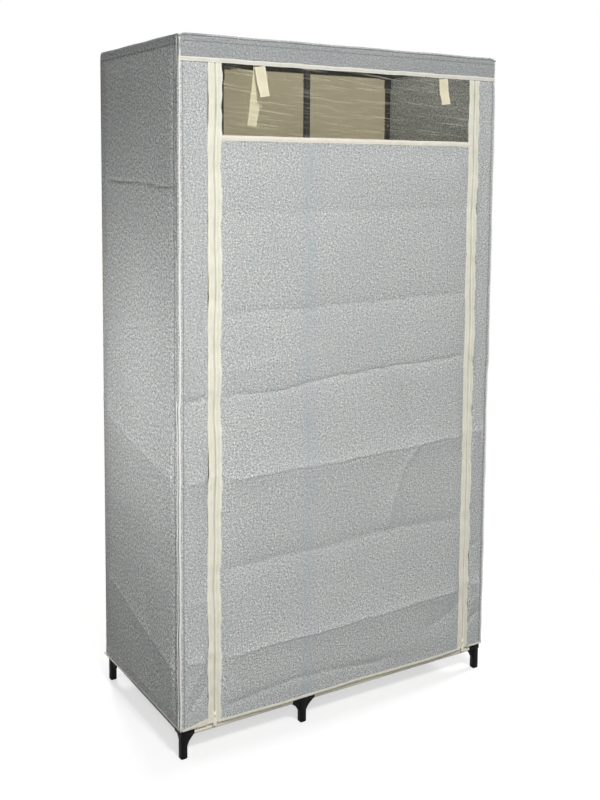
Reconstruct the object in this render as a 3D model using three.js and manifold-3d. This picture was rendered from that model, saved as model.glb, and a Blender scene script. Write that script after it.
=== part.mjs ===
// Portable fabric wardrobe: a knock-down frame of black steel tube in moulded fittings,
// under a sewn cover of non-woven cloth with a zipped door that rolls up.
// Millimetres, +Z up, +X to the right and -Y towards the person who opens the door.
// The origin is the middle of the overall box, on the floor.

import * as THREE from 'three';
import { mergeVertices } from 'three/addons/utils/BufferGeometryUtils.js';
import Module from 'manifold-3d';

const wasm = await Module();
wasm.setup();

// The sewn cover
const coverWidth = 875;
const coverDepth = 455;
const coverTop = 1600;
const coverBottom = 70;
const clothThickness = 1.5;
const cornerRadius = 7;            // the cloth's bend round the frame's corners
const pipingRadius = 2.2;
const coverBillow = 3;             // how far the slack cloth stands out between its creases
const backBillow = 1.2;            // the back hangs straighter
const sideColumns = 8;
const stripColumns = 3;
const roofColumns = 6;
const pipingSides = 8;
const creasePinch = 0.6;           // the power that makes the billow drop sharply at a crease

// Heights of the creases that the folded cloth has kept, as shares of the cover's height
const doorCreaseShares = [0.095, 0.232, 0.357, 0.48, 0.601];
const sideCreaseShares = [0.092, 0.232, 0.36, 0.48, 0.601, 0.786];

// Clearances
const fitGap = 0.3;                // between pieces that touch
const overrun = 5;                 // how far a cut runs past the face that it opens
const sliver = 0.02;               // detail finer than this is dropped after a join or a cut

// The tube frame
const tubeRadius = 8;
const tubeWall = 0.8;
const tubeSides = 16;
const midPostPlace = -113;         // left of the middle: shelves to its left, hanging space to its right
const bottomAxisHeight = 60;
const frameInsetFront = 14;        // from the cover's front and back faces to the tubes' axes
const lowerShelfHeight = 530;
const upperShelfHeight = 990;

// The moulded fittings that the tubes plug into
const fittingRadius = 10;
const fittingSides = 12;
const coreSide = 17.6;             // the cube where a fitting's sockets meet
const coreChamfer = 4;
const seamTuck = 0.5;              // how far a moulded web or bail reaches into its body
const cornerReach = 24;            // from the axes' crossing to a socket's mouth
const midReach = 30;
const postReach = 36;              // the socket that holds the post
const shelfReach = 24;
const shelfSleeveHeight = 28;
const socketFloor = 9.7;           // from the crossing to the bottom of a socket
const stemSide = 17;
const stemRounding = 2.4;
const stemChamfer = 2.2;
const gussetStart = 27;            // height where the foot begins to spread
const gussetThickness = 9;
const gussetSpreadShare = 0.45;    // how much of the socket's reach the gusset fills
const gussetWaistShare = 0.3;      // where its curve turns, as a share of its height

// The rail in the hanging space
const railSleeveLength = 34;

// Shelves and floor: cloth with a sleeve round each long tube
const sleeveThickness = 1.1;
const sleeveSides = 16;
const sheetInset = 12;             // the sheet's ends stay this far inside the side tubes' axes
const shelfSag = 5;
const sheetSteps = 8;

// The header, its tape, and the window
const headerHeight = 46.7;
const headerTapeHeight = 10;
const paneThickness = 0.8;
const windowBindingHeight = 12;

// The door: cloth bands joined by live hinges, so that it can roll up in front of the window
const doorBottom = 68;
const windowBandHeight = 164.8;    // the first band: the window and its binding
const clothBands = 9;
const bandShare = 0.92;            // a band's length over that of the one above, so that its turns stay clear
const doorBillow = 3;
const bandFade = 16;               // the billow dies away over this much at a band's ends
const doorColumnShares = [0, 0.03, 0.1, 0.23, 0.37, 0.5, 0.63, 0.77, 0.9, 0.97, 1];
const bandRows = 4;
const leastRowGap = 5;

// Zips
const zipInsetLeft = 83.5;         // from the cover's side to the middle of the teeth
const zipInsetRight = 67.5;
const zipTapeHalf = 16.5;
const zipTapeThickness = 0.8;
const teethHalf = 3.4;
const teethThickness = 2.6;
const teethGroove = 0.9;
const teethChamfer = 0.7;
const zipBottom = 72;
const tapeSetBack = 0.3;

// Sliders and their pulls
const sliderRestHeight = 90;
const sliderLength = 13;
const sliderHalf = 5.3;
const sliderFrontPlate = 1.2;
const sliderBackPlate = 1;
const sliderNoseShare = 0.62;      // the slider's narrow end, as a share of its width
const bailHeight = 3.6;
const bailSpan = 8;
const bailWidth = 2.4;
const bailBar = 1.3;
const pullLength = 26;
const pullWidth = 8.4;
const pullThickness = 1.2;
const pullEyeWidth = 3.8;
const pullEyeLength = 5.2;
const pullBar = 1.3;
const pullShoulderShare = 0.8;     // the pull narrows to this beside its eye, and then to its neck
const pullNeckShare = 0.6;
const pullRounding = 2.4;

// The ties that hold the rolled door
const strapWidth = 26;
const strapThickness = 1.2;
const strapFrontLength = 68;
const strapRearLength = 132;
const strapRearRightLength = 62;   // doubled up behind the pane, so it doesn't show below the front one
const strapLeftShare = 0.146;      // their places along the window's width
const strapRightShare = 0.8665;
const strapFrontLeftLean = 11;     // degrees, to the right
const strapFrontRightLean = 8;
const strapRearLeftLean = -8;
const strapRearRightLean = 8;

// Places worked out from the sizes above
const halfWidth = coverWidth / 2;
const frontFace = -coverDepth / 2;
const backFace = coverDepth / 2;
const insetSide = clothThickness + fitGap + fittingRadius;
const postX = { left: -halfWidth + insetSide, mid: midPostPlace, right: halfWidth - insetSide };
const postY = { front: frontFace + frameInsetFront, rear: backFace - frameInsetFront };
const topAxisHeight = coverTop - clothThickness - fitGap - fittingRadius;
const boreRadius = tubeRadius + fitGap;
const tubeStart = socketFloor + fitGap;      // from a crossing to the end of the tube in its socket
const sleeveInner = tubeRadius + fitGap;
const sleeveOuter = sleeveInner + sleeveThickness;
const headerBottom = coverTop - headerHeight;
const tapeTop = headerBottom - fitGap;
const tapeBottom = tapeTop - headerTapeHeight;
const doorTop = tapeBottom - fitGap;
const zipX = { left: -halfWidth + zipInsetLeft, right: halfWidth - zipInsetRight };
const sideCloth = coverTop - clothThickness - fitGap;    // the sides end just under the roof

// Plain solids and the joins and cuts between them

function closed(geometry) {
  const bare = geometry.index ? geometry.toNonIndexed() : geometry.clone();
  for (const name of Object.keys(bare.attributes)) if (name !== 'position') bare.deleteAttribute(name);
  return mergeVertices(bare, 1e-4);
}

function solidOf(geometry) {
  const merged = closed(geometry);
  return new wasm.Manifold(new wasm.Mesh({
    numProp: 3,
    vertProperties: new Float32Array(merged.attributes.position.array),
    triVerts: new Uint32Array(merged.index.array),
  }));
}

function geometryOf(solid) {
  const mesh = solid.getMesh();
  const geometry = new THREE.BufferGeometry();
  geometry.setAttribute('position', new THREE.BufferAttribute(new Float32Array(mesh.vertProperties), 3));
  geometry.setIndex(new THREE.BufferAttribute(new Uint32Array(mesh.triVerts), 1));
  return geometry;
}

function join(pieces, cuts = []) {
  let whole = solidOf(pieces[0]);
  for (const piece of pieces.slice(1)) whole = whole.add(solidOf(piece));
  for (const cut of cuts) whole = whole.subtract(solidOf(cut));
  return geometryOf(whole.simplify(sliver));
}

// Turns what was made along +Z so that it runs along the given axis
const turnTo = {
  x: (geometry) => geometry.rotateY(Math.PI / 2),
  y: (geometry) => geometry.rotateX(-Math.PI / 2),
  z: (geometry) => geometry,
};

function rod(radius, from, to, axis, sides = tubeSides) {
  const geometry = new THREE.CylinderGeometry(radius, radius, to - from, sides);
  geometry.rotateX(Math.PI / 2).translate(0, 0, (from + to) / 2);
  return turnTo[axis](geometry);
}

function ring(outer, inner, from, to, axis, sides = tubeSides) {
  const shape = new THREE.Shape().absarc(0, 0, outer, 0, 2 * Math.PI);
  shape.holes.push(new THREE.Path().absarc(0, 0, inner, 0, 2 * Math.PI));
  const geometry = new THREE.ExtrudeGeometry(shape, {
    depth: to - from, bevelEnabled: false, curveSegments: sides / 2,
  });
  geometry.translate(0, 0, from);
  return turnTo[axis](closed(geometry));
}

function block(from, to) {
  const size = new THREE.Vector3().subVectors(to, from);
  const middle = new THREE.Vector3().addVectors(from, to).multiplyScalar(0.5);
  return new THREE.BoxGeometry(size.x, size.y, size.z).translate(middle.x, middle.y, middle.z);
}

const point = (x, y, z) => new THREE.Vector3(x, y, z);

// A closed sheet of even thickness over a grid: surface(u, v) gives a point of its outer
// face and the outward direction there
function sheetSolid(us, vs, thickness, surface) {
  const columns = us.length;
  const positions = [];
  for (const inner of [false, true]) {
    for (const v of vs) {
      for (const u of us) {
        const { place, outward } = surface(u, v);
        const p = inner ? place.clone().addScaledVector(outward, -thickness) : place;
        positions.push(p.x, p.y, p.z);
      }
    }
  }
  const layer = columns * vs.length;
  const at = (i, j, inner) => (inner ? layer : 0) + j * columns + i;
  const faces = [];
  const quad = (a, b, c, d) => faces.push(a, b, c, a, c, d);
  for (let j = 0; j < vs.length - 1; j++) {
    for (let i = 0; i < columns - 1; i++) {
      quad(at(i, j), at(i + 1, j), at(i + 1, j + 1), at(i, j + 1));
      quad(at(i, j, true), at(i, j + 1, true), at(i + 1, j + 1, true), at(i + 1, j, true));
    }
  }
  for (let i = 0; i < columns - 1; i++) {
    const last = vs.length - 1;
    quad(at(i, 0, true), at(i + 1, 0, true), at(i + 1, 0), at(i, 0));
    quad(at(i, last), at(i + 1, last), at(i + 1, last, true), at(i, last, true));
  }
  for (let j = 0; j < vs.length - 1; j++) {
    const last = columns - 1;
    quad(at(0, j), at(0, j + 1), at(0, j + 1, true), at(0, j, true));
    quad(at(last, j, true), at(last, j + 1, true), at(last, j + 1), at(last, j));
  }
  const geometry = new THREE.BufferGeometry();
  geometry.setAttribute('position', new THREE.Float32BufferAttribute(positions, 3));
  geometry.setIndex(faces);
  return outwardFacing(geometry);
}

function outwardFacing(geometry) {
  const p = geometry.attributes.position;
  const index = geometry.index.array;
  const [a, b, c] = [point(), point(), point()];
  let volume = 0;
  for (let i = 0; i < index.length; i += 3) {
    a.fromBufferAttribute(p, index[i]);
    b.fromBufferAttribute(p, index[i + 1]);
    c.fromBufferAttribute(p, index[i + 2]);
    volume += a.dot(b.cross(c));
  }
  if (volume < 0) for (let i = 0; i < index.length; i += 3) [index[i], index[i + 1]] = [index[i + 1], index[i]];
  return geometry;
}

function steps(from, to, count) {
  return Array.from({ length: count + 1 }, (_, i) => from + ((to - from) * i) / count);
}

function merged(values, least) {
  const sorted = [...values].sort((a, b) => a - b);
  return sorted.filter((v, i) => i === 0 || i === sorted.length - 1
    || (v - sorted[i - 1] > least && sorted[sorted.length - 1] - v > least));
}

// How far slack cloth stands out at one place between the creases, from 0 to 1
function slack(value, stops) {
  for (let i = 0; i < stops.length - 1; i++) {
    const [low, high] = [stops[i], stops[i + 1]];
    if (value >= low && value <= high) {
      return Math.max(0, Math.sin((Math.PI * (value - low)) / (high - low))) ** creasePinch;
    }
  }
  return 0;
}

// Frame pieces

function chamferedCube(side, chamfer) {
  const flat = side - 2 * chamfer;
  const square = new THREE.Shape();
  square.moveTo(-flat / 2, -flat / 2).lineTo(flat / 2, -flat / 2);
  square.lineTo(flat / 2, flat / 2).lineTo(-flat / 2, flat / 2).closePath();
  return new THREE.ExtrudeGeometry(square, {
    depth: flat, bevelThickness: chamfer, bevelSize: chamfer, bevelSegments: 1,
  }).translate(0, 0, -flat / 2);
}

// Sockets that meet at one crossing, each { axis, sign, reach }, about the origin
function sockets(arms) {
  const bodies = [chamferedCube(coreSide, coreChamfer)];
  const bores = [];
  for (const { axis, sign, reach } of arms) {
    const [near, far] = [-seamTuck, reach].map((r) => sign * r).sort((a, b) => a - b);
    bodies.push(rod(fittingRadius, near, far, axis, fittingSides));
    const mouth = sign * (reach + overrun);
    const floor = sign * socketFloor;
    bores.push(rod(boreRadius, Math.min(floor, mouth), Math.max(floor, mouth), axis));
  }
  return { bodies, bores };
}

function stem(height) {
  const half = stemSide / 2 - stemChamfer;
  const r = stemRounding;
  const outline = new THREE.Shape();
  outline.moveTo(-half + r, -half);
  outline.lineTo(half - r, -half).quadraticCurveTo(half, -half, half, -half + r);
  outline.lineTo(half, half - r).quadraticCurveTo(half, half, half - r, half);
  outline.lineTo(-half + r, half).quadraticCurveTo(-half, half, -half, half - r);
  outline.lineTo(-half, -half + r).quadraticCurveTo(-half, -half, -half + r, -half);
  return new THREE.ExtrudeGeometry(outline, {
    depth: height - 2 * stemChamfer, curveSegments: 2,
    bevelThickness: stemChamfer, bevelSize: stemChamfer, bevelSegments: 1,
  }).translate(0, 0, stemChamfer);
}

// The web that spreads from the stem to a socket, as on a tree trunk's root
function gusset({ axis, sign, reach }) {
  const rise = bottomAxisHeight - gussetStart;
  const top = bottomAxisHeight - fittingRadius + seamTuck;
  const spread = stemSide / 2 + (reach - stemSide / 2) * gussetSpreadShare;
  const web = new THREE.Shape();
  web.moveTo(0, gussetStart);
  web.lineTo(stemSide / 2 - seamTuck, gussetStart);
  web.quadraticCurveTo(stemSide / 2, top - rise * gussetWaistShare, spread, top);
  web.lineTo(spread, bottomAxisHeight).lineTo(0, bottomAxisHeight).closePath();
  const geometry = new THREE.ExtrudeGeometry(web, {
    depth: gussetThickness, bevelEnabled: false, curveSegments: 5,
  });
  geometry.translate(0, 0, -gussetThickness / 2).rotateX(Math.PI / 2);
  if (axis === 'x') return sign > 0 ? geometry : geometry.rotateZ(Math.PI);
  return geometry.rotateZ((sign * Math.PI) / 2);
}

// The directions in which a crossing has tubes along the floor or the roof
function ringArms(row, column) {
  const reach = column === 'mid' ? midReach : cornerReach;
  const arms = [{ axis: 'y', sign: row === 'front' ? 1 : -1, reach }];
  if (column !== 'left') arms.push({ axis: 'x', sign: -1, reach });
  if (column !== 'right') arms.push({ axis: 'x', sign: 1, reach });
  return arms;
}

function foot(row, column) {
  const arms = ringArms(row, column);
  const { bodies, bores } = sockets([...arms, { axis: 'z', sign: 1, reach: postReach }]);
  for (const piece of [...bodies, ...bores]) piece.translate(0, 0, bottomAxisHeight);
  return join([stem(bottomAxisHeight), ...bodies, ...arms.map(gusset)], bores);
}

// A post with the fitting that is pressed on its top and, where it carries shelves,
// the sleeve and socket of each shelf tube
function post(row, column) {
  const from = bottomAxisHeight + tubeStart;
  const top = sockets(ringArms(row, column));
  for (const piece of [...top.bodies, ...top.bores]) piece.translate(0, 0, topAxisHeight);
  const bodies = [rod(tubeRadius, from, topAxisHeight, 'z'), ...top.bodies];
  bodies.push(rod(fittingRadius, topAxisHeight - postReach, topAxisHeight, 'z', fittingSides));
  const cuts = [rod(tubeRadius - tubeWall, from - overrun, topAxisHeight - fittingRadius, 'z'), ...top.bores];
  if (column !== 'right') {
    const sign = column === 'left' ? 1 : -1;
    for (const height of [lowerShelfHeight, upperShelfHeight]) {
      const [base, crown] = [height - shelfSleeveHeight / 2, height + shelfSleeveHeight / 2];
      bodies.push(rod(fittingRadius, base, crown, 'z', fittingSides));
      const [near, far] = [0, sign * shelfReach].sort((a, b) => a - b);
      bodies.push(rod(fittingRadius, near, far, 'x', fittingSides).translate(0, 0, height));
      const [floor, mouth] = [sign * socketFloor, sign * (shelfReach + overrun)].sort((a, b) => a - b);
      cuts.push(rod(boreRadius, floor, mouth, 'x').translate(0, 0, height));
    }
  }
  return join(bodies, cuts);
}

const tube = (from, to, axis) => ring(tubeRadius, tubeRadius - tubeWall, from + tubeStart, to - tubeStart, axis);

// The rail and the two sleeves that hang it on the roof's depth tubes
function hangingRail() {
  const ends = [postX.mid, postX.right];
  const half = railSleeveLength / 2;
  const sleeves = ends.map((x) => rod(fittingRadius, -half, half, 'y', fittingSides).translate(x, 0, 0));
  const bores = ends.map((x) => rod(boreRadius, -railSleeveLength, railSleeveLength, 'y').translate(x, 0, 0));
  const hollow = rod(tubeRadius - tubeWall, ends[0], ends[1], 'x');
  return join([rod(tubeRadius, ends[0], ends[1], 'x'), ...sleeves], [hollow, ...bores]);
}

// Cloth that spans two tubes: a sleeve round each and a sheet between, level with the
// sleeves' tops. A shelf's sheet sags a little between its tubes.
function sleevedSheet(spans, sheetFrom, sheetTo, sag) {
  const reach = postY.rear;
  const bodies = [];
  const cuts = [];
  for (const [from, to] of spans) {
    for (const y of [-reach, reach]) {
      bodies.push(rod(sleeveOuter, from, to, 'x', sleeveSides).translate(0, y, 0));
      cuts.push(rod(sleeveInner, from - overrun, to + overrun, 'x', sleeveSides).translate(0, y, 0));
    }
    bodies.push(sheet(from, to, reach, sag));
  }
  if (spans.length > 1) {
    bodies.push(sheet(sheetFrom, sheetTo, reach - cornerReach - sheetInset, 0));
  }
  return join(bodies, cuts);
}

function sheet(from, to, half, sag) {
  return sheetSolid(steps(-half, half, sheetSteps), [from, to], sleeveThickness, (y, x) => ({
    place: point(x, y, sleeveOuter - sag * Math.cos((Math.PI * y) / (2 * half)) ** 2),
    outward: point(0, 0, 1),
  }));
}

// Cover pieces

// A side panel and the strip of the front that turns the corner with it, with piping in the
// corner. sign is -1 on the left. The outline runs from the back, round the corner, to the zip.
function sidePanel(sign, zipPlace) {
  const outer = sign * halfWidth;
  const rear = backFace - clothThickness - fitGap;
  const stripEnd = zipPlace + sign * (zipTapeHalf + fitGap);
  const straight = rear - (frontFace + cornerRadius);
  const bend = (Math.PI / 2) * cornerRadius;
  const strip = Math.abs(outer - stripEnd) - cornerRadius;
  const length = straight + bend + strip;
  const us = [...steps(0, straight, sideColumns), straight + bend / 2, straight + bend,
    ...steps(straight + bend, length, stripColumns).slice(1)];
  const creases = [0, ...sideCreaseShares, 1].map((s) => coverBottom + s * (sideCloth - coverBottom));
  const vs = merged([...creases, ...creases.slice(1).map((z, i) => (z + creases[i]) / 2)], overrun);
  const cloth = sheetSolid(us, vs, clothThickness, (u, z) => {
    const place = point(outer, rear - u, z);
    const outward = point(sign, 0, 0);
    let billow = 0;
    if (u <= straight) {
      billow = coverBillow * Math.sin((Math.PI * u) / straight) ** creasePinch;
    } else {
      const turn = Math.min(u - straight, bend) / cornerRadius;
      const along = Math.max(u - straight - bend, 0);
      place.set(outer - sign * (cornerRadius * (1 - Math.cos(turn)) + along),
        frontFace + cornerRadius * (1 - Math.sin(turn)), z);
      outward.set(sign * Math.cos(turn), -Math.sin(turn), 0);
      if (along > 0) billow = (coverBillow / 2) * Math.max(Math.sin((Math.PI * along) / strip), 0);
    }
    return { place: place.addScaledVector(outward, billow * slack(z, creases)), outward };
  });
  const bead = rod(pipingRadius, coverBottom, sideCloth, 'z', pipingSides);
  const inset = cornerRadius * (1 - Math.SQRT1_2);
  bead.translate(outer - sign * inset, frontFace + inset, 0);
  const tapeCut = block(
    point(-coverWidth, frontFace - overrun, doorTop),
    point(coverWidth, frontFace + clothThickness + fitGap, coverTop),
  );
  return join([cloth, bead], [roofPanel(coverWidth, overrun), tapeCut]);
}

function backPanel() {
  const creases = [0, ...sideCreaseShares, 1].map((s) => coverBottom + s * (sideCloth - coverBottom));
  const vs = merged([...creases, ...creases.slice(1).map((z, i) => (z + creases[i]) / 2)], overrun);
  return sheetSolid(steps(-halfWidth, halfWidth, sideColumns), vs, clothThickness, (x, z) => ({
    place: point(x, backFace + backBillow * slack(z, creases) * Math.cos((Math.PI * x) / coverWidth), z),
    outward: point(0, 1, 0),
  }));
}

// The roof and the header below its front edge, in one piece of cloth. With a margin it is
// the space that other pieces leave for it.
function roofPanel(half = halfWidth, margin = 0) {
  const straight = coverDepth - cornerRadius;
  const bend = (Math.PI / 2) * cornerRadius;
  const drop = coverTop - cornerRadius - headerBottom;
  const us = [0, straight / 2, straight, straight + bend / 3, straight + (2 * bend) / 3, straight + bend, straight + bend + drop];
  const thickness = clothThickness + (margin > 0 ? margin + fitGap : 0);
  return sheetSolid(us, steps(-half, half, roofColumns), thickness, (u, x) => {
    const turn = Math.min(Math.max(u - straight, 0), bend) / cornerRadius;
    const back = Math.min(u, straight);
    const down = Math.max(u - straight - bend, 0);
    const outward = point(0, -Math.sin(turn), Math.cos(turn));
    const place = point(x, backFace - back - cornerRadius * Math.sin(turn),
      coverTop - cornerRadius * (1 - Math.cos(turn)) - down);
    return { place: place.addScaledVector(outward, margin), outward };
  });
}

// The zip's fixed half: tape and teeth in one section. sign is -1 on the left.
function zipTape(sign) {
  const middle = frontFace + tapeSetBack + zipTapeThickness / 2;
  const [front, back] = [middle - teethThickness / 2, middle + teethThickness / 2];
  const tape = zipTapeThickness / 2;
  const section = new THREE.Shape();
  section.moveTo(-zipTapeHalf, middle - tape);
  section.lineTo(-teethHalf, middle - tape);
  section.lineTo(-teethHalf, front + teethChamfer).lineTo(-teethHalf + teethChamfer, front);
  section.lineTo(-teethGroove, front).lineTo(0, front + teethGroove).lineTo(teethGroove, front);
  section.lineTo(teethHalf - teethChamfer, front).lineTo(teethHalf, front + teethChamfer);
  section.lineTo(teethHalf, back - teethChamfer).lineTo(teethHalf - teethChamfer, back);
  section.lineTo(-teethHalf + teethChamfer, back).lineTo(-teethHalf, back - teethChamfer);
  section.lineTo(-teethHalf, middle + tape).lineTo(-zipTapeHalf, middle + tape).closePath();
  const geometry = new THREE.ExtrudeGeometry(section, { depth: doorTop - zipBottom, bevelEnabled: false });
  geometry.translate(0, 0, zipBottom);
  return sign < 0 ? geometry : geometry.rotateZ(Math.PI).translate(0, 2 * middle, 0);
}

// The slider grips the teeth from the door's side and leaves the tape free on the other.
// Its bail, on the front, carries the pull. Made about the middle of the teeth.
const teethMiddle = frontFace + tapeSetBack + zipTapeThickness / 2;
const sliderFront = teethMiddle - teethThickness / 2 - fitGap - sliderFrontPlate;
const sliderBack = teethMiddle + teethThickness / 2 + fitGap + sliderBackPlate;
const pullAxisY = sliderFront - (fitGap + bailHeight - bailBar) / 2;     // the middle of the bail's eye

function slider(sign) {
  const outline = new THREE.Shape();
  const nose = sliderHalf * sliderNoseShare;
  const half = sliderLength / 2;
  outline.moveTo(-sliderHalf, -half).lineTo(sliderHalf, -half);
  outline.lineTo(sliderHalf, 0).quadraticCurveTo(sliderHalf, half, nose, half);
  outline.lineTo(-nose, half).quadraticCurveTo(-sliderHalf, half, -sliderHalf, 0).closePath();
  const body = new THREE.ExtrudeGeometry(outline, {
    depth: sliderBack - sliderFront, bevelEnabled: false, curveSegments: 4,
  }).rotateX(Math.PI / 2).translate(0, sliderBack, 0);
  const channel = block(
    point(-sliderHalf - overrun, sliderFront + sliderFrontPlate, -sliderLength),
    point(teethHalf + fitGap, sliderBack - sliderBackPlate, sliderLength),
  );
  const arch = new THREE.Shape();
  const [reach, span] = [bailHeight + seamTuck, bailSpan / 2];
  arch.moveTo(-span, 0).lineTo(-span, reach / 2).quadraticCurveTo(-span, reach, 0, reach);
  arch.quadraticCurveTo(span, reach, span, reach / 2).lineTo(span, 0).closePath();
  const eye = new THREE.Path();
  const [inner, eyeSpan] = [reach - bailBar, span - bailBar];
  eye.moveTo(-eyeSpan, seamTuck + fitGap).lineTo(eyeSpan, seamTuck + fitGap).lineTo(eyeSpan, inner / 2);
  eye.quadraticCurveTo(eyeSpan, inner, 0, inner).quadraticCurveTo(-eyeSpan, inner, -eyeSpan, inner / 2).closePath();
  arch.holes.push(eye);
  const bail = new THREE.ExtrudeGeometry(arch, { depth: bailWidth, bevelEnabled: false, curveSegments: 4 });
  bail.translate(0, 0, -bailWidth / 2).rotateZ(-Math.PI / 2).rotateX(-Math.PI / 2).rotateZ(-Math.PI / 2);
  bail.translate(0, sliderFront + seamTuck, 0);
  const geometry = join([body, bail], [channel]);
  return sign < 0 ? geometry : outwardFacing(closed(geometry.scale(-1, 1, 1)));
}

// The pull hangs from the bail by the bar above its eye, made about that bar
function pull() {
  const [half, r] = [pullWidth / 2, pullRounding];
  const plate = new THREE.Shape();
  const bottom = -pullLength;
  plate.moveTo(-half + r, bottom).lineTo(half - r, bottom).quadraticCurveTo(half, bottom, half, bottom + r);
  const [shoulder, neck] = [half * pullShoulderShare, half * pullNeckShare];
  plate.lineTo(shoulder, -pullEyeLength).lineTo(neck, pullBar / 2);
  plate.lineTo(-neck, pullBar / 2).lineTo(-shoulder, -pullEyeLength);
  plate.lineTo(-half, bottom + r).quadraticCurveTo(-half, bottom, -half + r, bottom);
  const eye = new THREE.Path();
  const [eyeHalf, eyeTop] = [pullEyeWidth / 2, -pullBar / 2];
  eye.moveTo(-eyeHalf, eyeTop).lineTo(-eyeHalf, eyeTop - pullEyeLength);
  eye.lineTo(eyeHalf, eyeTop - pullEyeLength).lineTo(eyeHalf, eyeTop).closePath();
  plate.holes.push(eye);
  const geometry = new THREE.ExtrudeGeometry(plate, { depth: pullThickness, bevelEnabled: false, curveSegments: 3 });
  return geometry.translate(0, 0, -pullThickness / 2).rotateX(Math.PI / 2);
}

// The door. Below the window each band is shorter than the one above by the same share, so that
// the rolled door makes a spiral that clears itself at every angle of its hinges.
const windowBottom = doorTop - windowBandHeight;
const firstBand = ((windowBottom - doorBottom) * (1 - bandShare)) / (1 - bandShare ** clothBands);
const bandTops = [windowBottom];
for (let i = 0; i < clothBands; i++) bandTops.push(bandTops[i] - firstBand * bandShare ** i);
const doorEdge = sliderHalf + fitGap + fitGap;
const doorLeft = zipX.left + doorEdge;
const doorRight = zipX.right - doorEdge;

function doorBand(index) {
  const high = bandTops[index] - fitGap / 2;
  const low = index === clothBands - 1 ? doorBottom : bandTops[index + 1] + fitGap / 2;
  const creases = doorCreaseShares.map((s) => coverBottom + s * (coverTop - coverBottom));
  const stops = [doorBottom, ...creases, windowBottom];
  const inside = creases.filter((z) => z > low + bandFade && z < high - bandFade);
  const rows = merged([...steps(low + bandFade, high - bandFade, bandRows), ...inside], leastRowGap);
  const us = doorColumnShares.map((s) => doorLeft + s * (doorRight - doorLeft));
  const fade = (z) => Math.min(1, Math.max(0, Math.min(z - low, high - z) / bandFade));
  return sheetSolid(us, [low, ...rows, high], clothThickness, (x, z) => {
    const across = Math.sin((Math.PI * (x - doorLeft)) / (doorRight - doorLeft));
    const billow = doorBillow * slack(z, stops) * fade(z) * Math.max(across, 0) ** creasePinch;
    return { place: point(x, frontFace - billow, z), outward: point(0, -1, 0) };
  });
}

// A tie hangs from the seam above the window, turned a little in its own plane
function strap(length) {
  return block(point(-strapWidth / 2, -strapThickness / 2, -length), point(strapWidth / 2, strapThickness / 2, 0));
}

// Colours and surfaces
const looks = {
  tube: { color: 0x16171a, roughness: 0.28, metalness: 0.35 },
  plastic: { color: 0x0e0f10, roughness: 0.55, metalness: 0 },
  greyCloth: { color: 0xa9acac, roughness: 0.95, metalness: 0 },
  creamCloth: { color: 0xd6d1bd, roughness: 0.9, metalness: 0 },
  backCloth: { color: 0xc9c1aa, roughness: 0.95, metalness: 0 },
  film: { color: 0xe6e8e6, roughness: 0.08, metalness: 0, transparent: true, opacity: 0.25 },
  slider: { color: 0xd9d6c8, roughness: 0.4, metalness: 0.3 },
};

const wardrobe = new THREE.Group();

function add(name, geometry, look, place = point(0, 0, 0)) {
  const mesh = new THREE.Mesh(closed(geometry), new THREE.MeshStandardMaterial(looks[look]));
  mesh.geometry.computeVertexNormals();
  mesh.name = name;
  mesh.position.copy(place);
  wardrobe.add(mesh);
  return mesh;
}

// Feet and posts
for (const row of ['front', 'rear']) {
  for (const column of ['left', 'mid', 'right']) {
    const place = point(postX[column], postY[row], 0);
    add(`foot_${row}_${column}`, foot(row, column), 'plastic', place);
    add(`post_${row}_${column}`, post(row, column), 'tube', place);
  }
}

// Tubes of the floor ring and the roof ring
for (const [level, height] of [['bottom', bottomAxisHeight], ['top', topAxisHeight]]) {
  for (const row of ['front', 'rear']) {
    add(`${level}_tube_${row}_left`, tube(postX.left, postX.mid, 'x'), 'tube', point(0, postY[row], height));
    add(`${level}_tube_${row}_right`, tube(postX.mid, postX.right, 'x'), 'tube', point(0, postY[row], height));
  }
  for (const column of ['left', 'mid', 'right']) {
    add(`${level}_tube_side_${column}`, tube(postY.front, postY.rear, 'y'), 'tube', point(postX[column], 0, height));
  }
}

add('hanging_rail', hangingRail(), 'tube', point(0, 0, topAxisHeight));

// Shelves on their tubes, and the floor
for (const [name, height] of [['lower', lowerShelfHeight], ['upper', upperShelfHeight]]) {
  for (const row of ['front', 'rear']) {
    add(`shelf_tube_${name}_${row}`, tube(postX.left, postX.mid, 'x'), 'tube', point(0, postY[row], height));
  }
  const span = [postX.left + shelfReach + fitGap, postX.mid - shelfReach - fitGap];
  add(`shelf_${name}`, sleevedSheet([span], ...span, shelfSag), 'creamCloth', point(0, 0, height));
}
add('floor_panel', sleevedSheet([
  [postX.left + cornerReach + fitGap, postX.mid - midReach - fitGap],
  [postX.mid + midReach + fitGap, postX.right - cornerReach - fitGap],
], postX.left + sheetInset, postX.right - sheetInset, 0), 'creamCloth', point(0, 0, bottomAxisHeight));

// The cover
add('cover_roof', roofPanel(), 'greyCloth');
add('cover_left', sidePanel(-1, zipX.left), 'greyCloth');
add('cover_right', sidePanel(1, zipX.right), 'greyCloth');
add('cover_back', backPanel(), 'backCloth');
add('header_tape', block(
  point(-halfWidth, frontFace, tapeBottom), point(halfWidth, frontFace + clothThickness, tapeTop),
), 'creamCloth');

// The zips
for (const [side, sign] of [['left', -1], ['right', 1]]) {
  add(`zip_tape_${side}`, zipTape(sign), 'creamCloth', point(zipX[side], 0, 0));
  add(`zip_slider_${side}`, slider(sign), 'slider', point(zipX[side], 0, sliderRestHeight));
  add(`zip_pull_${side}`, pull(), 'slider', point(zipX[side], pullAxisY, sliderRestHeight));
}

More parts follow.
